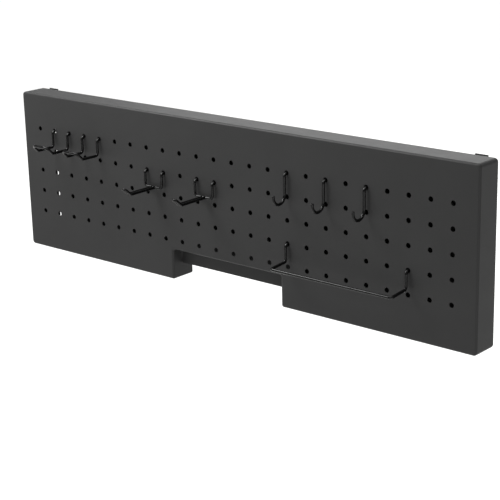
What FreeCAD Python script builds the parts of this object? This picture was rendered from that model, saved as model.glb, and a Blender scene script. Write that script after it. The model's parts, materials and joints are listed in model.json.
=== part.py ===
"""Wall-hung steel pegboard panel with a cut-out and eight lift-off wire hooks.

Millimetres.  X runs along the panel, Y into the wall, +Z up.  The origin is the centre of
the four wall-screw holes, on the plane that touches the wall, so the front face looks
along -Y.  The centre of the peg grid lies straight in front of the origin.
"""
import FreeCAD, Part
import math
import os
import PartDesign
import Sketcher
from FreeCAD import Vector

DRIVING_SIZES = (
    # peg grid
    ("peg_pitch", 25.0),
    ("peg_columns", 24),
    ("peg_rows", 5),
    ("peg_hole", 5.5),
    # front panel, a folded steel pan
    ("side_margin", 28.5),
    ("top_margin", 41.0),
    ("bottom_margin", 46.0),
    ("panel_depth", 32.0),
    ("panel_steel", 1.0),
    ("bend_radius", 2.5),
    ("corner_radius", 4.0),
    ("side_lip", 18.0),
    ("edge_lip", 12.0),
    # cut-out in the bottom edge
    ("notch_width", 155.0),
    ("notch_height", 35.0),
    ("notch_fold", 10.0),
    ("notch_relief", 1.0),
    # plate inside the pan
    ("plate_setback", 14.0),
    ("plate_steel", 1.2),
    ("plate_fold", 8.0),
    ("plate_edge_gap", 12.0),
    ("plate_notch_gap", 0.5),
    ("tongue_gap", 1.0),
    ("tongue_drop", 18.5),
    ("fold_end_gap", 0.5),
    # hangers that carry the plate and the pan and take the wall screws
    ("hanger_steel", 1.5),
    ("hanger_inreach", 15.0),
    ("hanger_outreach", 5.0),
    ("hanger_foot", 20.0),
    ("hanger_end_gap", 2.0),
    ("hanger_web_gap", 4.0),
    ("ear_offset", 2.0),
    ("ear_width", 14.0),
    ("ear_height", 14.0),
    ("ear_rise", 0.5),
    ("wall_hole", 5.5),
    # M4 fasteners
    ("screw_thread", 4.0),
    ("screw_clearance", 0.4),
    ("screw_length", 8.0),
    ("flush_head", 7.5),
    ("pan_head", 8.0),
    ("pan_head_height", 2.4),
    ("nut_corners", 8.1),
    ("nut_height", 3.2),
    ("washer_size", 9.0),
    ("washer_height", 0.8),
    ("lip_screw_inset", 5.0),
    ("fit_gap", 0.1),
    # rubber wall pads
    ("pad_size", 8.0),
    ("pad_inset", 7.0),
    # hook wire
    ("wire", 3.2),
    ("leg_standoff", 3.4),
    ("peg_arc", 8.0),
    ("peg_sweep", 75.0),
    ("wire_bend", 3.5),
    ("wire_end_round", 0.8),
    # loop hook
    ("loop_drop", 18.5),
    ("loop_arm", 27.0),
    ("loop_reach", 7.5),
    ("loop_rise", 7.5),
    ("loop_corner", 6.0),
    # tool hook
    ("tool_drop", 17.5),
    ("tool_arm", 40.5),
    ("tool_tip_reach", 8.5),
    ("tool_tip_rise", 7.0),
    ("tool_arm_gap", 0.8),
    # J hook
    ("j_drop", 30.5),
    ("j_radius", 9.0),
    ("j_tip", 2.0),
    # long bar hook
    ("bar_drop", 18.5),
    ("bar_arm", 28.0),
    ("bar_slope", 2.0),
)

# Where each hook hangs: its node name, its row and the columns of its pegs, from the top left.
LOOP_HOOKS = (("loop_hook_left", 1, (2, 3)), ("loop_hook_right", 1, (4, 5)))
TOOL_HOOKS = (("tool_hook_left", 2, (8, 9)), ("tool_hook_right", 2, (11, 12)))
J_HOOKS = (("j_hook_left", 1, 16), ("j_hook_middle", 1, 18), ("j_hook_right", 1, 20))
BAR_HOOK = ("long_bar_hook", 4, (16, 22))

CUT_THROUGH = 2  # a cut this many times as deep as the sheet is thick goes right through it
SINK_TAPER = -45.0  # degrees, a 90 degree countersink that narrows away from the wall
SAME_POINT = 1e-6  # millimetres
SAME_END = 1e-3  # millimetres, between a wire's end and the middle of its end ring

doc = FreeCAD.newDocument("PegboardToolWall")
sheet = doc.addObject("Spreadsheet::Sheet", "Sizes")
for line_number, (alias, size) in enumerate(DRIVING_SIZES, start=1):
    sheet.set(f"A{line_number}", alias)
    sheet.set(f"B{line_number}", str(size))
    sheet.setAlias(f"B{line_number}", alias)
doc.recompute()

# Places worked out from the sheet, as expressions that the features are bound to.
GRID_X = "((Sizes.peg_columns - 1) * Sizes.peg_pitch / 2)"
GRID_Z = "((Sizes.peg_rows - 1) * Sizes.peg_pitch / 2)"
HALF_WIDTH = f"({GRID_X} + Sizes.side_margin)"
TOP = f"({GRID_Z} + Sizes.top_margin)"
BOTTOM = f"(-{GRID_Z} - Sizes.bottom_margin)"
NOTCH_X = "(Sizes.notch_width / 2)"
NOTCH_TOP = f"({BOTTOM} + Sizes.notch_height)"
PAN_BACK = "Sizes.hanger_steel"
FACE = "(Sizes.panel_depth + Sizes.hanger_steel)"
PLATE_FRONT = f"({FACE} - Sizes.plate_setback)"
PLATE_BACK = f"({PLATE_FRONT} - Sizes.plate_steel)"
PLATE_X = f"({GRID_X} - Sizes.hanger_inreach)"
PLATE_TOP = f"({TOP} - Sizes.plate_edge_gap)"
PLATE_BOTTOM = f"({NOTCH_TOP} + Sizes.panel_steel + Sizes.plate_notch_gap)"
FOLD_X = f"({PLATE_X} - Sizes.hanger_steel - Sizes.fold_end_gap)"
FOOT_BACK = f"({PLATE_BACK} - Sizes.hanger_steel)"
LIP_NUT_FRONT = f"({PAN_BACK} + Sizes.panel_steel + Sizes.nut_height)"
PLATE_NUT_FRONT = f"({FOOT_BACK} - Sizes.washer_height)"
TONGUE_X = f"({NOTCH_X} - Sizes.tongue_gap)"
TONGUE_BOTTOM = f"({NOTCH_TOP} - Sizes.tongue_drop)"


def value(expression):
    """The number that an expression on the sheet gives now."""
    return float(sheet.evalExpression(expression))


# ---------------------------------------------------------------- sketches and features

def new_body(label):
    body = doc.addObject("PartDesign::Body", label)
    body.Label = label
    return body


def new_sketch(body, plane, offset):
    """A sketch on one of the body's origin planes, moved along the plane's normal."""
    sketch = body.newObject("Sketcher::SketchObject", body.Label + "_sketch")
    support = [item for item in body.Origin.OriginFeatures if item.Role == plane][0]
    sketch.AttachmentSupport = [(support, "")]
    sketch.MapMode = "FlatFace"
    sketch.setExpression("AttachmentOffset.Base.z", offset)
    return sketch


def tie(sketch, kind, geometry, position, expression):
    """Hold one coordinate of a sketch point at an expression, measured from the origin."""
    constraint = Sketcher.Constraint(kind, -1, 1, geometry, position, value(expression))
    index = sketch.addConstraint(constraint)
    sketch.setExpression(f"Constraints[{index}]", expression)


def draw_polygon(sketch, corners):
    """A closed outline whose corners are pairs of expressions."""
    places = [Vector(value(across), value(up), 0) for across, up in corners]
    first = sketch.GeometryCount
    count = len(corners)
    for index in range(count):
        sketch.addGeometry(Part.LineSegment(places[index], places[(index + 1) % count]), False)
    for index in range(count):
        following = first + (index + 1) % count
        sketch.addConstraint(Sketcher.Constraint("Coincident", first + index, 2, following, 1))
    for index, (across, up) in enumerate(corners):
        tie(sketch, "DistanceX", first + index, 1, across)
        tie(sketch, "DistanceY", first + index, 1, up)


def draw_box(sketch, left, right, low, high):
    draw_polygon(sketch, ((left, low), (right, low), (right, high), (left, high)))


def draw_circle(sketch, across, up, diameter):
    centre = Vector(value(across), value(up), 0)
    circle = sketch.addGeometry(Part.Circle(centre, Vector(0, 0, 1), value(diameter) / 2), False)
    for kind, expression in (("DistanceX", across), ("DistanceY", up)):
        if abs(value(expression)) > SAME_POINT:
            tie(sketch, kind, circle, 3, expression)
        else:
            axis = -2 if kind == "DistanceX" else -1
            sketch.addConstraint(Sketcher.Constraint("PointOnObject", circle, 3, axis))
    index = sketch.addConstraint(Sketcher.Constraint("Diameter", circle, value(diameter)))
    sketch.setExpression(f"Constraints[{index}]", diameter)


def pad(body, sketch, length, against_normal=False):
    feature = body.newObject("PartDesign::Pad", body.Label + "_pad")
    feature.Profile = sketch
    feature.setExpression("Length", length)
    feature.Reversed = against_normal
    doc.recompute()
    return feature


def pocket(body, sketch, length, along_normal=False):
    """A pocket that is required to take material away."""
    before = body.Shape.Volume
    feature = body.newObject("PartDesign::Pocket", body.Label + "_pocket")
    feature.Profile = sketch
    feature.setExpression("Length", length)
    feature.Reversed = along_normal
    doc.recompute()
    if not body.Shape.Volume < before:
        raise RuntimeError(f"{feature.Label} cuts nothing")
    return feature


def is_deep(edge):
    """Whether an edge runs from the face towards the wall."""
    first, last = (vertex.Point for vertex in edge.Vertexes)
    return abs(first.y - last.y) > SAME_END


def is_pan_corner(edge):
    """Whether a deep edge is at an outer corner of the pan, and not at its notch."""
    return is_deep(edge) and abs(edge.Vertexes[0].Point.x) > value(f"({NOTCH_X} + {HALF_WIDTH}) / 2")


def round_edges(body, radius, is_wanted):
    """Fillet those edges of the body's last feature that a test picks."""
    base = body.Tip
    names = [f"Edge{index}" for index, edge in enumerate(base.Shape.Edges, start=1) if is_wanted(edge)]
    feature = body.newObject("PartDesign::Fillet", body.Label + "_fillet")
    feature.Base = (base, names)
    feature.setExpression("Radius", radius)
    doc.recompute()
    return feature


def round_pan(body, inset):
    """Round a pan's upright corners, and then its bends, both drawn in by an inset."""
    round_edges(body, f"Sizes.corner_radius - {inset}", is_pan_corner)
    round_edges(body, f"Sizes.bend_radius - {inset}", lambda edge: not is_pan_corner(edge))


# ---------------------------------------------------------------- front panel

def panel_outline(side, edge, notch_side, notch_top):
    """The panel's outline, drawn in from its sides, top and bottom, and notch by those sizes."""
    right = f"({HALF_WIDTH} - {side})"
    top = f"({TOP} - {edge})"
    bottom = f"({BOTTOM} + {edge})"
    notch_x = f"({NOTCH_X} + {notch_side})"
    notch_z = f"({NOTCH_TOP} + {notch_top})"
    return (
        (f"-{right}", top), (f"-{right}", bottom), (f"-{notch_x}", bottom), (f"-{notch_x}", notch_z),
        (notch_x, notch_z), (notch_x, bottom), (right, bottom), (right, top),
    )


def make_front_panel():
    """A pan folded from one sheet: face, side walls and rear lips, open at the back."""
    body = new_body("front_panel")
    sketch = new_sketch(body, "XZ_Plane", PAN_BACK)
    draw_polygon(sketch, panel_outline("0", "0", "0", "0"))
    pad(body, sketch, "Sizes.panel_depth")
    round_pan(body, "0")

    # The space between the face and the lips, taken out as a whole, then the opening at the back.
    steel = "Sizes.panel_steel"
    space = new_body("pan_space")
    sketch = new_sketch(space, "XZ_Plane", f"{PAN_BACK} + {steel}")
    draw_polygon(sketch, panel_outline(steel, steel, steel, steel))
    pad(space, sketch, f"Sizes.panel_depth - 2 * {steel}")
    round_pan(space, steel)
    hollow = body.newObject("PartDesign::Boolean", "hollow")
    hollow.Type = "Cut"
    hollow.setObjects([space])
    doc.recompute()
    sketch = new_sketch(body, "XZ_Plane", PAN_BACK)
    lips = panel_outline("Sizes.side_lip", "Sizes.edge_lip", "Sizes.edge_lip", "Sizes.notch_relief")
    draw_polygon(sketch, lips)
    pocket(body, sketch, f"{CUT_THROUGH} * {steel}", along_normal=True)

    # Over the notch the pan has only a short fold, so that the plate's tongue can pass.
    sketch = new_sketch(body, "XZ_Plane", "0")
    draw_box(sketch, f"-{NOTCH_X}", NOTCH_X, f"{NOTCH_TOP} - Sizes.notch_relief",
             f"{NOTCH_TOP} + Sizes.edge_lip + Sizes.notch_relief")
    pocket(body, sketch, f"{FACE} - Sizes.notch_fold", along_normal=True)

    # Screw holes in the top and bottom lips, in line with the hangers' holes.
    sketch = new_sketch(body, "XZ_Plane", "0")
    for across, up in lip_screw_places():
        draw_circle(sketch, across, up, "Sizes.screw_thread + Sizes.screw_clearance")
    pocket(body, sketch, f"{PAN_BACK} + {CUT_THROUGH} * {steel}", along_normal=True)

    # The peg grid, from its lower left hole.
    sketch = new_sketch(body, "XZ_Plane", FACE)
    draw_circle(sketch, f"-{GRID_X}", f"-{GRID_Z}", "Sizes.peg_hole")
    first_hole = pocket(body, sketch, f"{CUT_THROUGH} * {steel}")
    grid = doc.addObject("PartDesign::MultiTransform", "peg_grid")
    grid.Originals = [first_hole]
    body.addObject(grid)
    rows_and_columns = []
    for axis, count in (("H_Axis", "peg_columns"), ("V_Axis", "peg_rows")):
        pattern = doc.addObject("PartDesign::LinearPattern", count + "_pattern")
        pattern.Direction = (sketch, [axis])
        pattern.setExpression("Length", f"(Sizes.{count} - 1) * Sizes.peg_pitch")
        pattern.setExpression("Occurrences", f"Sizes.{count}")
        body.addObject(pattern)
        rows_and_columns.append(pattern)
    grid.Transformations = rows_and_columns
    body.Tip = grid
    doc.recompute()
    return body


def lip_screw_places():
    """Screws through each hanger into the top and bottom lips of the pan."""
    across = f"({GRID_X} - Sizes.lip_screw_inset)"
    top = f"({TOP} - Sizes.edge_lip / 2)"
    bottom = f"({BOTTOM} + Sizes.edge_lip / 2)"
    return [(f"{side}{across}", up) for side in ("-", "") for up in (top, bottom)]


def plate_screw_places():
    """Screws through the plate into each hanger's foot, between rows of pegs."""
    across = f"({PLATE_X} - Sizes.hanger_foot / 2)"
    up = "(1.5 * Sizes.peg_pitch)"
    return [(f"{side}{across}", f"{sign}{up}") for side in ("-", "") for sign in ("-", "")]


# ---------------------------------------------------------------- inner plate and hangers

def make_back_plate():
    """The plate that closes the pan behind the pegs, with a tongue that hangs in the notch."""
    body = new_body("back_plate")
    sketch = new_sketch(body, "XZ_Plane", PLATE_BACK)
    draw_polygon(sketch, (
        (f"-{PLATE_X}", PLATE_TOP), (f"-{PLATE_X}", PLATE_BOTTOM), (f"-{TONGUE_X}", PLATE_BOTTOM),
        (f"-{TONGUE_X}", TONGUE_BOTTOM), (TONGUE_X, TONGUE_BOTTOM), (TONGUE_X, PLATE_BOTTOM),
        (PLATE_X, PLATE_BOTTOM), (PLATE_X, PLATE_TOP),
    ))
    pad(body, sketch, "Sizes.plate_steel")
    steel = "Sizes.plate_steel"
    sketch = new_sketch(body, "XZ_Plane", PLATE_BACK)
    draw_box(sketch, f"-{FOLD_X}", FOLD_X, f"{PLATE_TOP} - {steel}", PLATE_TOP)
    draw_box(sketch, f"-{FOLD_X}", f"-{TONGUE_X}", PLATE_BOTTOM, f"{PLATE_BOTTOM} + {steel}")
    draw_box(sketch, TONGUE_X, FOLD_X, PLATE_BOTTOM, f"{PLATE_BOTTOM} + {steel}")
    draw_box(sketch, f"-{TONGUE_X}", TONGUE_X, TONGUE_BOTTOM, f"{TONGUE_BOTTOM} + {steel}")
    pad(body, sketch, "Sizes.plate_fold", against_normal=True)
    sketch = new_sketch(body, "XZ_Plane", PLATE_BACK)
    for across, up in plate_screw_places():
        draw_circle(sketch, across, up, "Sizes.screw_thread + Sizes.screw_clearance")
    pocket(body, sketch, f"{CUT_THROUGH} * {steel}", along_normal=True)
    return body


def make_hanger(label, side):
    """A Z-shaped bracket: a leg on the wall, a web, and a foot behind the plate.

    side is "-" for the left hanger and "" for the right one.
    """
    body = new_body(label)
    steel = "Sizes.hanger_steel"
    inner = f"({PLATE_X} - {steel})"
    outer = f"({GRID_X} + Sizes.hanger_outreach)"
    ear_inner = f"({GRID_X} + Sizes.ear_offset)"
    ear_outer = f"({ear_inner} + Sizes.ear_width)"
    leg_top = f"({TOP} - Sizes.hanger_end_gap)"
    leg_bottom = f"({BOTTOM} + Sizes.hanger_end_gap)"
    ear_bottom = f"({TOP} - Sizes.ear_height)"
    ear_top = f"({TOP} + Sizes.ear_rise)"
    sketch = new_sketch(body, "XZ_Plane", "0")
    draw_polygon(sketch, [(side + across, up) for across, up in (
        (inner, leg_bottom), (outer, leg_bottom), (outer, ear_bottom), (ear_outer, ear_bottom),
        (ear_outer, ear_top), (ear_inner, ear_top), (ear_inner, leg_top), (inner, leg_top),
    )])
    pad(body, sketch, steel)

    # The web, as long as the space between the pan's lips, and the foot, between the plate's folds.
    foot_end = f"({PLATE_X} - Sizes.hanger_foot)"
    bends = (
        (inner, f"{steel} / 2", BOTTOM, TOP, "Sizes.edge_lip + Sizes.hanger_web_gap"),
        (foot_end, FOOT_BACK, PLATE_BOTTOM, PLATE_TOP, "Sizes.hanger_web_gap"),
    )
    for far_side, back, low, high, gap in bends:
        sketch = new_sketch(body, "XY_Plane", f"{low} + {gap}")
        draw_polygon(sketch, [(side + across, f"-{depth}") for across, depth in (
            (PLATE_X, back), (PLATE_X, PLATE_BACK), (far_side, PLATE_BACK), (far_side, back),
        )])
        pad(body, sketch, f"{high} - {low} - 2 * ({gap})")

    sketch = new_sketch(body, "XZ_Plane", PLATE_BACK)
    for across, up in plate_screw_places():
        if across.startswith("-") == (side == "-"):
            draw_circle(sketch, across, up, "Sizes.screw_thread + Sizes.screw_clearance")
    pocket(body, sketch, f"{CUT_THROUGH} * {steel}")

    sketch = new_sketch(body, "XZ_Plane", steel)
    for sign in ("-", ""):
        draw_circle(sketch, f"{side}{GRID_X}", f"{sign}{GRID_Z}", "Sizes.wall_hole")
    pocket(body, sketch, f"{CUT_THROUGH} * {steel}")

    # Countersinks for the flush screws, wide at the wall side.
    for across, up in lip_screw_places():
        if across.startswith("-") == (side == "-"):
            sketch = new_sketch(body, "XZ_Plane", "0")
            draw_circle(sketch, across, up, "Sizes.flush_head + 2 * Sizes.fit_gap")
            sink = pocket(body, sketch, steel, along_normal=True)
            sink.TaperAngle = SINK_TAPER
            doc.recompute()
    return body


# ---------------------------------------------------------------- fasteners and pads

def turn_to_depth(feature, across, depth, up):
    """Lay a primitive's own Z along Y, so that it grows from the given depth towards the wall."""
    feature.Placement = FreeCAD.Placement(Vector(), FreeCAD.Rotation(Vector(1, 0, 0), -90))
    feature.setExpression("Placement.Base.x", across)
    feature.setExpression("Placement.Base.y", f"-({depth})")
    feature.setExpression("Placement.Base.z", up)


def cylinder(name, diameter, height, across, depth, up):
    feature = doc.addObject("Part::Cylinder", name)
    feature.setExpression("Radius", f"({diameter}) / 2")
    feature.setExpression("Height", height)
    turn_to_depth(feature, across, depth, up)
    return feature


def group(label, pieces):
    """One node of separate, identical solids."""
    compound = doc.addObject("Part::Compound", label)
    compound.Label = label
    compound.Links = pieces
    doc.recompute()
    return compound


def fuse(name, shapes):
    feature = doc.addObject("Part::MultiFuse", name)
    feature.Shapes = shapes
    return feature


def make_lip_screws():
    """Flush-head screws, put in from the wall side."""
    screws = []
    for across, up in lip_screw_places():
        head = doc.addObject("Part::Cone", "flush_head")
        head.setExpression("Radius1", "Sizes.flush_head / 2 - Sizes.hanger_steel")
        head.setExpression("Radius2", "Sizes.flush_head / 2")
        head.setExpression("Height", "Sizes.hanger_steel")
        turn_to_depth(head, across, "Sizes.hanger_steel", up)
        shank = cylinder("shank", "Sizes.screw_thread", "Sizes.screw_length", across,
                         "Sizes.screw_length", up)
        screws.append(fuse("flush_screw", [head, shank]))
    return group("lip_screws", screws)


def make_nut(name, across, front, up):
    """A hexagon nut that grows from its front face towards the wall."""
    blank = doc.addObject("Part::Prism", name + "_blank")
    blank.Polygon = 6
    blank.setExpression("Circumradius", "Sizes.nut_corners / 2")
    blank.setExpression("Height", "Sizes.nut_height")
    turn_to_depth(blank, across, front, up)
    bore = cylinder(name + "_bore", "Sizes.screw_thread + Sizes.fit_gap", "2 * Sizes.nut_height",
                    across, f"{front} + Sizes.nut_height / 2", up)
    nut = doc.addObject("Part::Cut", name)
    nut.Base = blank
    nut.Tool = bore
    return nut


def make_nuts(label, places, front):
    return group(label, [make_nut(label[:-1], across, front, up) for across, up in places])


def make_plate_screws():
    """Pan-head screws, put in from the front before the pan goes on."""
    screws = []
    for across, up in plate_screw_places():
        head = cylinder("pan_head", "Sizes.pan_head", "Sizes.pan_head_height", across,
                        f"{PLATE_FRONT} + Sizes.pan_head_height", up)
        rounded = doc.addObject("Part::Fillet", "rounded_head")
        rounded.Base = head
        doc.recompute()
        radius = value("Sizes.pan_head_height") / 2
        top_edges = [index + 1 for index, edge in enumerate(head.Shape.Edges)
                     if edge.Closed and edge.CenterOfMass.y < head.Shape.CenterOfMass.y]
        rounded.Edges = [(index, radius, radius) for index in top_edges]
        shank = cylinder("shank", "Sizes.screw_thread", "Sizes.screw_length", across, PLATE_FRONT, up)
        screws.append(fuse("pan_screw", [rounded, shank]))
    return group("plate_screws", screws)


def make_plate_washers():
    washers = []
    for across, up in plate_screw_places():
        disc = cylinder("washer_disc", "Sizes.washer_size", "Sizes.washer_height", across, FOOT_BACK, up)
        bore = cylinder("washer_bore", "Sizes.screw_thread + Sizes.screw_clearance",
                        "3 * Sizes.washer_height", across, f"{FOOT_BACK} + Sizes.washer_height", up)
        washer = doc.addObject("Part::Cut", "washer")
        washer.Base = disc
        washer.Tool = bore
        washers.append(washer)
    return group("plate_washers", washers)


def make_wall_pads():
    """Rubber discs on the four corners of the pan, as thick as the hangers."""
    pads = []
    for side in ("-", ""):
        for up in (f"{TOP} - Sizes.pad_inset", f"{BOTTOM} + Sizes.pad_inset"):
            across = f"{side}({HALF_WIDTH} - Sizes.pad_inset)"
            pads.append(cylinder("wall_pad", "Sizes.pad_size", "Sizes.hanger_steel", across, PAN_BACK, up))
    return group("wall_pads", pads)


# ---------------------------------------------------------------- wire hooks

WIRE_RADIUS = value("Sizes.wire / 2")
HOLE_Y = -value(f"{FACE} - Sizes.panel_steel / 2")
LEG_Y = -value(f"{FACE} + Sizes.leg_standoff")
TOP_BEND = HOLE_Y - LEG_Y
BEND = value("Sizes.wire_bend")


def column_x(column):
    return value(f"{column - 1} * Sizes.peg_pitch - {GRID_X}")


def row_z(row):
    return value(f"{GRID_Z} - {row - 1} * Sizes.peg_pitch")


def bent_edges(points, radii):
    """Straight runs joined by tangent arcs; radii has one value for each inner point."""
    edges = []
    start = points[0]
    for before, corner, after, radius in zip(points, points[1:], points[2:], radii):
        back = (before - corner).normalize()
        ahead = (after - corner).normalize()
        half_angle = back.getAngle(ahead) / 2
        reach = radius / math.tan(half_angle)
        bisector = (back + ahead).normalize()
        centre = corner + bisector * (radius / math.sin(half_angle))
        arc_start = corner + back * reach
        arc_end = corner + ahead * reach
        if start.distanceToPoint(arc_start) > SAME_POINT:
            edges.append(Part.LineSegment(start, arc_start).toShape())
        edges.append(Part.Arc(arc_start, centre - bisector * radius, arc_end).toShape())
        start = arc_end
    if start.distanceToPoint(points[-1]) > SAME_POINT:
        edges.append(Part.LineSegment(start, points[-1]).toShape())
    return edges


def hole_centre(across, up):
    """The point on a peg hole's axis in the middle of the sheet."""
    return Vector(across, HOLE_Y, up)


def peg_edge(across, up, from_tip):
    """The peg behind the sheet: an arc about the line that the hook tilts on."""
    radius = value("Sizes.peg_arc")
    sweep = value("Sizes.peg_sweep")
    places = []
    for degrees in (sweep, sweep / 2, 0):
        angle = math.radians(degrees)
        shift = Vector(0, radius * math.sin(angle), radius - radius * math.cos(angle))
        places.append(hole_centre(across, up) + shift)
    if not from_tip:
        places.reverse()
    return Part.Arc(*places).toShape()


def wire_solid(edges):
    """A round wire along tangent edges, with its cut ends rounded off."""
    path = Part.Wire(edges)
    start = edges[0].Vertexes[0].Point
    direction = edges[0].tangentAt(edges[0].FirstParameter)
    ring = Part.Wire(Part.makeCircle(WIRE_RADIUS, start, direction))
    solid = path.makePipeShell([ring], True, True)
    finish = edges[-1].Vertexes[-1].Point
    ends = [edge for edge in solid.Edges
            if edge.Closed and min(edge.CenterOfMass.distanceToPoint(start),
                                   edge.CenterOfMass.distanceToPoint(finish)) < SAME_END]
    return solid.makeFillet(value("Sizes.wire_end_round"), ends)


def mirrored_points(points, middle):
    """The same points on the other side of a plane across X, in the opposite order."""
    return [Vector(2 * middle - point.x, point.y, point.z) for point in reversed(points)]


def two_peg_wire(row, columns, left_points, left_radii):
    """A wire that is the same on both pegs: from the left hole to the middle, and back."""
    left, right = column_x(columns[0]), column_x(columns[1])
    up = row_z(row)
    points = [hole_centre(left, up), Vector(left, LEG_Y, up)] + left_points
    points += mirrored_points(points, (left + right) / 2)
    radii = [TOP_BEND] + left_radii
    radii += list(reversed(radii))
    edges = bent_edges(points, radii)
    return wire_solid([peg_edge(left, up, True)] + edges + [peg_edge(right, up, False)])


def add_shape(label, shape):
    feature = doc.addObject("Part::Feature", label)
    feature.Label = label
    feature.Shape = shape
    return feature


def make_loop_hook(label, row, columns):
    """Two arms joined by a short bar that slopes up at the front."""
    left = column_x(columns[0])
    low = row_z(row) - value("Sizes.loop_drop")
    arm_end = -value(f"{FACE} + Sizes.loop_arm")
    loop_end = arm_end - value("Sizes.loop_reach")
    high = low + value("Sizes.loop_rise")
    points = [Vector(left, LEG_Y, low), Vector(left, arm_end, low), Vector(left, loop_end, high)]
    corner = value("Sizes.loop_corner")
    return add_shape(label, two_peg_wire(row, columns, points, [BEND, BEND, corner]))


def make_tool_hook(label, row, columns):
    """A base that hangs on two pegs, and a narrow two-wire arm welded to its cross bar."""
    left = column_x(columns[0])
    low = row_z(row) - value("Sizes.tool_drop")
    base_shape = two_peg_wire(row, columns, [Vector(left, LEG_Y, low)], [BEND])
    base = add_shape(label + "_base", base_shape)
    middle = (left + column_x(columns[1])) / 2
    half_gap = value("(Sizes.wire + Sizes.tool_arm_gap) / 2")
    corner_y = -value(f"{FACE} + Sizes.tool_arm")
    tip_y = corner_y - value("Sizes.tool_tip_reach")
    tip_z = low + value("Sizes.tool_tip_rise")
    side = [Vector(middle - half_gap, LEG_Y, low), Vector(middle - half_gap, corner_y, low),
            Vector(middle - half_gap, tip_y, tip_z)]
    points = side + mirrored_points(side, middle)
    arm_shape = wire_solid(bent_edges(points, [BEND, half_gap, half_gap, BEND])).cut(base_shape)
    front_half = max(arm_shape.Solids, key=lambda solid: solid.Volume)
    return [base, add_shape(label + "_arm", front_half)]


def make_j_hook(label, row, column):
    """One leg that ends in a half circle."""
    across, up = column_x(column), row_z(row)
    low = up - value("Sizes.j_drop")
    radius = value("Sizes.j_radius")
    tip_y = LEG_Y - 2 * radius
    points = [hole_centre(across, up), Vector(across, LEG_Y, up), Vector(across, LEG_Y, low),
              Vector(across, tip_y, low), Vector(across, tip_y, low + radius + value("Sizes.j_tip"))]
    edges = bent_edges(points, [TOP_BEND, radius, radius])
    return add_shape(label, wire_solid([peg_edge(across, up, True)] + edges))


def make_bar_hook(label, row, columns):
    """Two arms joined by a long straight bar."""
    left = column_x(columns[0])
    low = row_z(row) - value("Sizes.bar_drop")
    bar_y = -value(f"{FACE} + Sizes.bar_arm")
    points = [Vector(left, LEG_Y, low), Vector(left, bar_y, low - value("Sizes.bar_slope"))]
    return add_shape(label, two_peg_wire(row, columns, points, [BEND, BEND]))


# ---------------------------------------------------------------- the whole object

nodes = [
    make_front_panel(),
    make_back_plate(),
    make_hanger("hanger_left", "-"),
    make_hanger("hanger_right", ""),
    make_lip_screws(),
    make_nuts("lip_nuts", lip_screw_places(), LIP_NUT_FRONT),
    make_plate_screws(),
    make_plate_washers(),
    make_nuts("plate_nuts", plate_screw_places(), PLATE_NUT_FRONT),
    make_wall_pads(),
]
for hook in LOOP_HOOKS:
    nodes.append(make_loop_hook(*hook))
for hook in TOOL_HOOKS:
    nodes += make_tool_hook(*hook)
for hook in J_HOOKS:
    nodes.append(make_j_hook(*hook))
nodes.append(make_bar_hook(*BAR_HOOK))

doc.recompute()
for item in doc.Objects:
    if "Invalid" in item.State or "Error" in item.State:
        raise RuntimeError(f"{item.Label} failed: {item.State}")
for node in nodes:
    if node.Shape.isNull() or not node.Shape.isValid() or not node.Shape.Solids:
        raise RuntimeError(f"{node.Label} has no valid solid")

os.makedirs("parts", exist_ok=True)
for node in nodes:
    node.Shape.exportStep(f"parts/{node.Label}.step")
    print(f"{node.Label}: {len(node.Shape.Solids)} solid(s), {node.Shape.Volume:.1f} mm3")
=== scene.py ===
import json
import math

import bpy
from mathutils import Matrix, Vector

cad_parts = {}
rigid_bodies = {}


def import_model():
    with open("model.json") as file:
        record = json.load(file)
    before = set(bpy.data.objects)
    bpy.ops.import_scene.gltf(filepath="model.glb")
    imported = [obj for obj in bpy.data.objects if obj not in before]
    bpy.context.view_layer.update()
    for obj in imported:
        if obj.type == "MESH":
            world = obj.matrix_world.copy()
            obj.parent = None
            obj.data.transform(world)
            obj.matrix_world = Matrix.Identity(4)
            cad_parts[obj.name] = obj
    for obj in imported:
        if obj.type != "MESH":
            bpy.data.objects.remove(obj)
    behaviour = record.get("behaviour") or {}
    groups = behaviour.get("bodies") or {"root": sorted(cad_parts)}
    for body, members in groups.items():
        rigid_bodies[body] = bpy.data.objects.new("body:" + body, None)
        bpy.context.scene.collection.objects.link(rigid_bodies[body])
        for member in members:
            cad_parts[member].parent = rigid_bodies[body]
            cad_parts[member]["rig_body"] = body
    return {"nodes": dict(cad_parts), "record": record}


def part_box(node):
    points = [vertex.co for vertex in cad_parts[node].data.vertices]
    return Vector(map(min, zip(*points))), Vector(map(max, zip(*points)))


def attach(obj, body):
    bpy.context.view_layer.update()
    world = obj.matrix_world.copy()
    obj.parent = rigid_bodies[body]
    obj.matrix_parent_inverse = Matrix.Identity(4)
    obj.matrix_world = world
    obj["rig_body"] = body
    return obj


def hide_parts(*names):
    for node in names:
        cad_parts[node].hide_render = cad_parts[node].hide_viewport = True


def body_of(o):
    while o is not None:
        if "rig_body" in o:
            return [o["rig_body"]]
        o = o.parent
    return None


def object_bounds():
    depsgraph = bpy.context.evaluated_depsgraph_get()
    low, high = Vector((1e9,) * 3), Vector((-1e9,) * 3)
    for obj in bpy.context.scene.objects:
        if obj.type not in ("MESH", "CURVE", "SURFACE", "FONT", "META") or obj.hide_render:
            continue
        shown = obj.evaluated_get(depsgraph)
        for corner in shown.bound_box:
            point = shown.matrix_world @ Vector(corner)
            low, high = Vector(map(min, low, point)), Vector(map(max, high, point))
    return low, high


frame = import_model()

cad_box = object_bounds()
MM = 0.001

# ---------------------------------------------------------------- finishes


def linear(sheet_colour):
    """The linear colour, with alpha, of an sRGB hex value such as "3A3B3D"."""
    channels = []
    for start in (0, 2, 4):
        channel = int(sheet_colour[start:start + 2], 16) / 255
        if channel <= 0.04045:
            channels.append(channel / 12.92)
        else:
            channels.append(((channel + 0.055) / 1.055) ** 2.4)
    return (*channels, 1.0)


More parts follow.
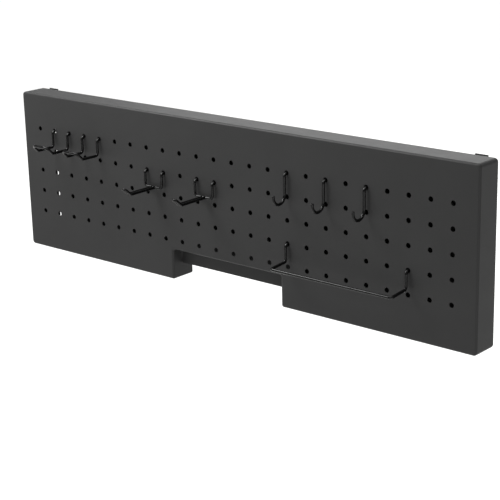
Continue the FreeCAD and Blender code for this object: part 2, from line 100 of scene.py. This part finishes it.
def per_size(millimetres):
    """The scale that makes a noise pattern's grains about that size."""
    return 1 / (millimetres * MM)


def add_node(finish, kind, values=None, links=None):
    """Adds a node with the values of its sockets and what feeds them."""
    added = finish.node_tree.nodes.new(kind)
    for socket, given in (values or {}).items():
        added.inputs[socket].default_value = given
    for socket, source in (links or {}).items():
        finish.node_tree.links.new(source, added.inputs[socket])
    return added


# The noise values, about the middle one, between which a finish runs from low to high.
TONE_RANGE = (0.35, 0.65)


def make_finish(name, tones, shine, bumps=(), index=1.5, metallic=0.0):
    """A material whose tone, roughness and skin each follow noise with grains of a real size.

    tones is (size in mm, detail, low colour, high colour), shine is (size in mm, low, high
    roughness), and each of the bumps is (size in mm, height in mm, strength).
    """
    finish = bpy.data.materials.new(name)
    finish.use_nodes = True
    finish.node_tree.nodes.clear()
    places = add_node(finish, "ShaderNodeTexCoord").outputs["Object"]

    size, detail, low_colour, high_colour = tones
    cloud = add_node(finish, "ShaderNodeTexNoise", links={"Vector": places},
                     values={"Scale": per_size(size), "Detail": detail})
    tone = add_node(finish, "ShaderNodeValToRGB", links={"Fac": cloud.outputs["Fac"]})
    for element, position, colour in zip(tone.color_ramp.elements, TONE_RANGE,
                                         (low_colour, high_colour)):
        element.position = position
        element.color = linear(colour)

    size, low, high = shine
    cloud = add_node(finish, "ShaderNodeTexNoise", links={"Vector": places},
                     values={"Scale": per_size(size), "Detail": 2.0})
    roughness = add_node(finish, "ShaderNodeMapRange", links={"Value": cloud.outputs["Fac"]}, values={
        "From Min": TONE_RANGE[0], "From Max": TONE_RANGE[1], "To Min": low, "To Max": high})

    surface = {"Base Color": tone.outputs["Color"], "Roughness": roughness.outputs["Result"]}
    skin = {}
    for size, height, strength in bumps:
        grain = add_node(finish, "ShaderNodeTexNoise", links={"Vector": places},
                         values={"Scale": per_size(size), "Detail": 1.0})
        layer = add_node(finish, "ShaderNodeBump", links={"Height": grain.outputs["Fac"], **skin},
                         values={"Distance": height * MM, "Strength": strength})
        skin = {"Normal": layer.outputs["Normal"]}
    shader = add_node(finish, "ShaderNodeBsdfPrincipled", links={**surface, **skin},
                      values={"IOR": index, "Metallic": metallic})
    add_node(finish, "ShaderNodeOutputMaterial", links={"Surface": shader.outputs["BSDF"]})
    return finish


def powder_coat():
    """Fine-texture polyester powder: matt, slightly uneven in tone, with an orange-peel skin.

    A resin's index is about 1.5; this lower one is matched to how little the coat shines.
    """
    return make_finish("polyester_powder_coat", (60, 3.0, "292929", "2B2B2B"), (14, 0.49, 0.51),
                       bumps=[(2.2, 0.05, 0.30), (0.5, 0.01, 0.35)], index=1.26)


def dipped_wire():
    """Glossy black dip coat: almost black, with soft runs along the wire.

    Vinyl's index is about 1.5; this lower one is matched to how dark the wires look.
    """
    return make_finish("black_dip_coat", (9, 2.0, "070707", "0B0B0B"), (5, 0.16, 0.24),
                       bumps=[(4.0, 0.05, 0.25)], index=1.28)


def bright_zinc():
    """Bright zinc plate: a pale metal with a faint blue cast and fine drawing marks."""
    return make_finish("bright_zinc_plate", (3.0, 2.0, "C3C7CC", "CFD0CE"), (1.2, 0.26, 0.38),
                       bumps=[(0.25, 0.01, 0.3)], metallic=1.0)


def black_rubber():
    """Moulded rubber: dull black with a fine pitted skin."""
    return make_finish("moulded_rubber", (1.5, 2.0, "191919", "1F1F1F"), (2.0, 0.72, 0.84),
                       bumps=[(0.3, 0.02, 0.5)], index=1.52)


def floor_paint():
    """Matt white emulsion, rolled on: pale and flat, with hardly a change in tone."""
    return make_finish("matt_emulsion", (400, 2.0, "EEEEED", "F0F0EF"), (400, 0.9, 0.9))


finishes = {
    "powder_coat": powder_coat(),
    "black_wire": dipped_wire(),
    "zinc_fastener": bright_zinc(),
    "rubber_pad": black_rubber(),
}
slot_of = {}
for part in frame["record"]["subparts"]:
    slot_of[part["node"]] = part["material_slot"]
    node_mesh = frame["nodes"][part["node"]].data
    node_mesh.materials.clear()
    node_mesh.materials.append(finishes[part["material_slot"]])

# ---------------------------------------------------------------- modelling helpers

SMOOTH_BELOW = math.radians(40)
WIRE_SMOOTH_BELOW = math.radians(60)
FLAT_BELOW = math.radians(0.5)
# in millimetres
SAME_POINT = 0.001
EDGE_BEVEL = 0.2
BEVEL_STEPS = 2
TURNED_SIDES = 48


def select_only(*pieces):
    bpy.ops.object.select_all(action="DESELECT")
    for piece in pieces:
        piece.select_set(True)
    bpy.context.view_layer.objects.active = pieces[0]


def in_edit_mode(piece, *steps):
    """Runs the steps on all of a piece's mesh."""
    select_only(piece)
    bpy.ops.object.mode_set(mode="EDIT")
    bpy.ops.mesh.select_all(action="SELECT")
    for step in steps:
        step()
    bpy.ops.object.mode_set(mode="OBJECT")


def merge_points():
    bpy.ops.mesh.remove_doubles(threshold=SAME_POINT * MM)


def join_flat_faces():
    bpy.ops.mesh.dissolve_limited(angle_limit=FLAT_BELOW)


def outward_normals():
    bpy.ops.mesh.normals_make_consistent(inside=False)


def break_edges(piece):
    """A small round on every sharp edge."""
    select_only(piece)
    bpy.ops.object.modifier_add(type="BEVEL")
    bevel = piece.modifiers[-1]
    bevel.width = EDGE_BEVEL * MM
    bevel.segments = BEVEL_STEPS
    bevel.limit_method = "ANGLE"
    bevel.angle_limit = SMOOTH_BELOW
    bpy.ops.object.modifier_apply(modifier=bevel.name)


def combine(piece, tool, operation="DIFFERENCE"):
    """Cuts the piece with the tool, joins them or keeps what they share; deletes the tool."""
    select_only(piece)
    bpy.ops.object.modifier_add(type="BOOLEAN")
    cut = piece.modifiers[-1]
    cut.operation = operation
    cut.object = tool
    bpy.ops.object.modifier_apply(modifier=cut.name)
    select_only(tool)
    bpy.ops.object.delete()


def smooth(piece):
    """Smooth bends and crisp edges, with flat faces that stay flat."""
    select_only(piece)
    bpy.ops.object.shade_smooth_by_angle(angle=SMOOTH_BELOW)
    bpy.ops.object.modifier_add(type="WEIGHTED_NORMAL")
    flatter = piece.modifiers[-1]
    flatter.keep_sharp = True
    bpy.ops.object.modifier_apply(modifier=flatter.name)


def stand_in(piece, name, node):
    """Names a piece, gives it the finish of the CAD node it stands for, and rides it there."""
    piece.name = name
    piece.data.name = name
    piece.data.materials.clear()
    piece.data.materials.append(finishes[slot_of[node]])
    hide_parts(node)
    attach(piece, body_of(frame["nodes"][node])[0])


def copy_of_node(node):
    """A merged copy of a CAD node's mesh, as an object of its own."""
    piece = bpy.data.objects.new(node + "_copy", frame["nodes"][node].data.copy())
    bpy.context.scene.collection.objects.link(piece)
    select_only(piece)
    bpy.ops.mesh.customdata_custom_splitnormals_clear()
    in_edit_mode(piece, merge_points)
    return piece


def apply_place():
    bpy.ops.object.transform_apply(location=True, rotation=True, scale=True)


def turned(profile, across, up):
    """A shape turned about an axis along Y through (across, up).

    profile holds (depth, radius) in millimetres, from the front; the axis is given in metres.
    """
    rings = []
    for (near, near_radius), (far, far_radius) in zip(profile, profile[1:]):
        bpy.ops.mesh.primitive_cone_add(
            vertices=TURNED_SIDES, radius1=near_radius * MM, radius2=far_radius * MM,
            depth=(far - near) * MM, end_fill_type="NOTHING",
            location=(across, (near + far) / 2 * MM, up), rotation=(-math.pi / 2, 0, 0))
        rings.append(bpy.context.object)
    select_only(*rings)
    bpy.ops.object.join()
    piece = bpy.context.object
    apply_place()
    in_edit_mode(piece, merge_points, outward_normals)
    return piece


# ---------------------------------------------------------------- folded steel


def dress_sheet_metal():
    """The pan, the plate and the hangers, with their cut edges rounded off by the coat."""
    for node, name in (("front_panel", "panel_shell"), ("back_plate", "inner_plate"),
                       ("hanger_left", "bracket_left"), ("hanger_right", "bracket_right")):
        piece = copy_of_node(node)
        in_edit_mode(piece, join_flat_faces)
        break_edges(piece)
        smooth(piece)
        stand_in(piece, name, node)


# ---------------------------------------------------------------- wire hooks


def dress_hooks():
    """Every hook's wires, smooth all round."""
    for node in sorted(slot_of):
        if slot_of[node] == "black_wire":
            piece = copy_of_node(node)
            select_only(piece)
            bpy.ops.object.shade_smooth_by_angle(angle=WIRE_SMOOTH_BELOW)
            stand_in(piece, node + "_wire", node)


# ---------------------------------------------------------------- fasteners and pads

# All in millimetres. M4 screws and nuts, with radii rather than diameters.
SHANK = 2.0
THREAD_PITCH = 0.7
THREAD_DEPTH = 0.35
THREAD_RELIEF = 0.2
TIP_TAPER = 0.9
TIP_LENGTH = 0.4
RECESS_SPAN = 4.0
RECESS_BAR = 0.9
RECESS_DEPTH = 1.3
FLUSH_HEAD = 3.75
FLUSH_HEIGHT = 1.5
FLUSH_EDGE = 0.15
PAN_HEAD = 4.0
PAN_HEIGHT = 2.4
# The pan head's crown: how far back from its top, and how far in from its rim.
PAN_CROWN = ((0, 1.3), (0.12, 0.7), (0.45, 0.25), (1.0, 0))
NUT_CORNER = 4.05
NUT_FLAT = NUT_CORNER * math.cos(math.pi / 6)
NUT_CHAMFER = 0.35
NUT_FACE_INSET = 0.05
NUT_BORE_GAP = 0.05
BORE_OVERRUN = 1.0
THREAD_OVERRUN = 0.3
WASHER_RIM = 4.5
WASHER_GAP = 0.2
WASHER_EDGE = 0.12
PAD_RIM = 4.0
PAD_STRAIGHT = 0.8
# The pad's rounded edge at the wall: how far from the wall, and how far in from its rim.
PAD_EDGE = ((0.3, 0.15), (0.08, 0.45), (0, 0.9))
PAD_DIMPLE = 1.2
PAD_DIMPLE_DEPTH = 0.3


def depths(node):
    """The depths of a node's front and back, in millimetres."""
    low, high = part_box(node)
    return low.y / MM, high.y / MM


def corner_centres(node, reach_x, reach_z):
    """The (across, up) centres of four like parts at the corners of a node's box, in metres."""
    low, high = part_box(node)
    return [(across, up) for across in (low.x + reach_x * MM, high.x - reach_x * MM)
            for up in (low.z + reach_z * MM, high.z - reach_z * MM)]


def copy_to(piece, name, node, centres):
    """Copies a piece made at the first centre to all four, each with a mesh of its own."""
    first = centres[0]
    for number, (across, up) in enumerate(centres, start=1):
        other = bpy.data.objects.new(name, piece.data.copy())
        bpy.context.scene.collection.objects.link(other)
        other.data.transform(Matrix.Translation((across - first[0], 0, up - first[1])))
        stand_in(other, f"{name}_{number}", node)
    select_only(piece)
    bpy.ops.object.delete()


def thread(start, end, radius):
    """The (depth, radius) points of a thread between two depths, with an M4 screw's pitch."""
    turns = round((end - start) / THREAD_PITCH)
    step = (end - start) / turns
    points = []
    for turn in range(turns):
        points.append((start + turn * step, radius - THREAD_DEPTH))
        points.append((start + (turn + 0.5) * step, radius))
    return points + [(end, radius - THREAD_DEPTH)]


def cross_recess(across, up, face, inwards):
    """The tool that cuts a cross recess into a screw head; inwards is +1 or -1 along Y."""
    bars = []
    for width, height in ((RECESS_SPAN, RECESS_BAR), (RECESS_BAR, RECESS_SPAN)):
        middle = face + inwards * (RECESS_DEPTH - BORE_OVERRUN) / 2
        bpy.ops.mesh.primitive_cube_add(
            size=1, location=(across, middle * MM, up),
            scale=(width * MM, (RECESS_DEPTH + BORE_OVERRUN) * MM, height * MM))
        bars.append(bpy.context.object)
        apply_place()
    combine(bars[0], bars[1], "UNION")
    return bars[0]


def dress_flush_screws():
    """Countersunk screws, heads at the wall."""
    front, back = depths("lip_screws")
    centres = corner_centres("lip_screws", FLUSH_HEAD, FLUSH_HEAD)
    head = back - FLUSH_HEIGHT
    piece = turned([
        (front, 0), (front, SHANK - TIP_TAPER),
        *thread(front + TIP_LENGTH, head - THREAD_RELIEF, SHANK),
        (head, SHANK), (back - FLUSH_EDGE, FLUSH_HEAD), (back, FLUSH_HEAD), (back, 0),
    ], *centres[0])
    combine(piece, cross_recess(*centres[0], back, -1))
    smooth(piece)
    copy_to(piece, "flush_screw", "lip_screws", centres)


def dress_pan_screws():
    """Pan-head screws, heads at the front."""
    front, back = depths("plate_screws")
    centres = corner_centres("plate_screws", PAN_HEAD, PAN_HEAD)
    head = front + PAN_HEIGHT
    piece = turned([
        (front, 0), *[(front + behind, PAN_HEAD - inset) for behind, inset in PAN_CROWN],
        (head, PAN_HEAD), (head, SHANK),
        *thread(head + THREAD_RELIEF, back - TIP_LENGTH, SHANK),
        (back, SHANK - TIP_TAPER), (back, 0),
    ], *centres[0])
    combine(piece, cross_recess(*centres[0], front, 1))
    smooth(piece)
    copy_to(piece, "pan_screw", "plate_screws", centres)


def dress_nuts(node, name):
    """Hexagon nuts with chamfered corners and a threaded bore."""
    front, back = depths(node)
    # Two corners of each nut lie across and two flats lie up and down, so its box is that size.
    centres = corner_centres(node, NUT_CORNER, NUT_FLAT)
    across, up = centres[0]
    piece = turned([
        (front, 0), (front, NUT_FLAT - NUT_FACE_INSET), (front + NUT_CHAMFER, NUT_CORNER),
        (back - NUT_CHAMFER, NUT_CORNER), (back, NUT_FLAT - NUT_FACE_INSET), (back, 0),
    ], across, up)
    bpy.ops.mesh.primitive_cylinder_add(
        vertices=6, radius=NUT_CORNER * MM, depth=(back - front) * MM,
        location=(across, (front + back) / 2 * MM, up), rotation=(math.pi / 2, math.pi / 6, 0))
    prism = bpy.context.object
    apply_place()
    combine(piece, prism, "INTERSECT")
    bore = SHANK + NUT_BORE_GAP
    tap = turned([
        (front - BORE_OVERRUN, 0), (front - BORE_OVERRUN, bore),
        *thread(front - THREAD_OVERRUN, back + THREAD_OVERRUN, bore + THREAD_DEPTH / 2),
        (back + BORE_OVERRUN, bore), (back + BORE_OVERRUN, 0),
    ], across, up)
    combine(piece, tap)
    smooth(piece)
    copy_to(piece, name, node, centres)


def dress_washers():
    """Flat washers with a rounded-off rim."""
    front, back = depths("plate_washers")
    centres = corner_centres("plate_washers", WASHER_RIM, WASHER_RIM)
    bore = SHANK + WASHER_GAP
    piece = turned([
        (front, bore), (front, WASHER_RIM - WASHER_EDGE), (front + WASHER_EDGE, WASHER_RIM),
        (back - WASHER_EDGE, WASHER_RIM), (back, WASHER_RIM - WASHER_EDGE), (back, bore),
        (front, bore),
    ], *centres[0])
    smooth(piece)
    copy_to(piece, "flat_washer", "plate_washers", centres)


def dress_pads():
    """Rubber feet with a rounded edge and a dimple on the wall side."""
    front, back = depths("wall_pads")
    centres = corner_centres("wall_pads", PAD_RIM, PAD_RIM)
    dimple = back - PAD_DIMPLE_DEPTH
    piece = turned([
        (front, 0), (front, PAD_RIM), (front + PAD_STRAIGHT, PAD_RIM),
        *[(back - behind, PAD_RIM - inset) for behind, inset in PAD_EDGE],
        (back, PAD_DIMPLE), (dimple, PAD_DIMPLE - PAD_DIMPLE_DEPTH), (dimple, 0),
    ], *centres[0])
    smooth(piece)
    copy_to(piece, "rubber_foot", "wall_pads", centres)


dress_sheet_metal()
dress_hooks()
dress_flush_screws()
dress_pan_screws()
dress_nuts("lip_nuts", "lip_nut")
dress_nuts("plate_nuts", "plate_nut")
dress_washers()
dress_pads()

# ---------------------------------------------------------------- camera, floor and light

CAMERA_PLACE = (0.990, -1.124, 0.4006)
CAMERA_TURN = 41.18
CAMERA_DOWN = 16.95
CAMERA_ROLL = -1.37
CAMERA_LENS = 103.4
FARTHEST_SEEN = 200.0
FLOOR_DROP = 1.0
FLOOR_SIZE = 80.0
OVERHEAD_STRENGTH = 2.8
OVERHEAD_SPREAD = 50
WORLD_STRENGTH = 0.33
# name, place, what it is aimed at, width, height, power
SOFTBOXES = (
    ("key", (-0.45, -0.36, 0.66), (-0.12, 0, 0.08), 0.7, 0.3, 12),
    ("strip", (1.17, -0.78, -0.33), (0.316, -0.03, 0), 0.16, 0.5, 2.0),
    ("back", (-2.0, 4.8, 1.6), (0, 0, 0.09), 4.6, 2.4, 88),
)


def make_camera():
    lens = bpy.data.cameras.new("camera")
    lens.lens = CAMERA_LENS
    lens.clip_end = FARTHEST_SEEN
    camera = bpy.data.objects.new("camera", lens)
    bpy.context.scene.collection.objects.link(camera)
    turn = (Matrix.Rotation(math.radians(CAMERA_TURN), 4, "Z")
            @ Matrix.Rotation(math.radians(90 - CAMERA_DOWN), 4, "X")
            @ Matrix.Rotation(math.radians(CAMERA_ROLL), 4, "Z"))
    camera.matrix_world = Matrix.Translation(CAMERA_PLACE) @ turn
    bpy.context.scene.camera = camera


def make_floor():
    lowest = cad_box[0].z - FLOOR_DROP
    bpy.ops.mesh.primitive_plane_add(size=FLOOR_SIZE, location=(0, 0, lowest))
    floor = bpy.context.object
    floor.name = "floor"
    floor.data.materials.append(floor_paint())


def make_lamp(name, kind, place, aim, power):
    light = bpy.data.lights.new(name, kind)
    light.energy = power
    lamp = bpy.data.objects.new(name, light)
    lamp.visible_camera = False
    bpy.context.scene.collection.objects.link(lamp)
    away = Vector(place) - Vector(aim)
    lamp.rotation_euler = away.to_track_quat("Z", "Y").to_euler()
    lamp.location = place
    return light


def make_softbox(name, place, aim, width, height, power):
    light = make_lamp(name, "AREA", place, aim, power)
    light.shape = "RECTANGLE"
    light.size = width
    light.size_y = height


def make_world():
    world = bpy.data.worlds.new("studio")
    world.use_nodes = True
    world.node_tree.nodes["Background"].inputs["Color"].default_value = (1, 1, 1, 1)
    world.node_tree.nodes["Background"].inputs["Strength"].default_value = WORLD_STRENGTH
    bpy.context.scene.world = world


make_camera()
make_floor()
make_world()
sky = make_lamp("overhead", "SUN", (0, 0, 4), (0, 0, 0), OVERHEAD_STRENGTH)
sky.angle = math.radians(OVERHEAD_SPREAD)
for softbox in SOFTBOXES:
    make_softbox(*softbox)
bpy.context.scene.view_settings.view_transform = "Standard"
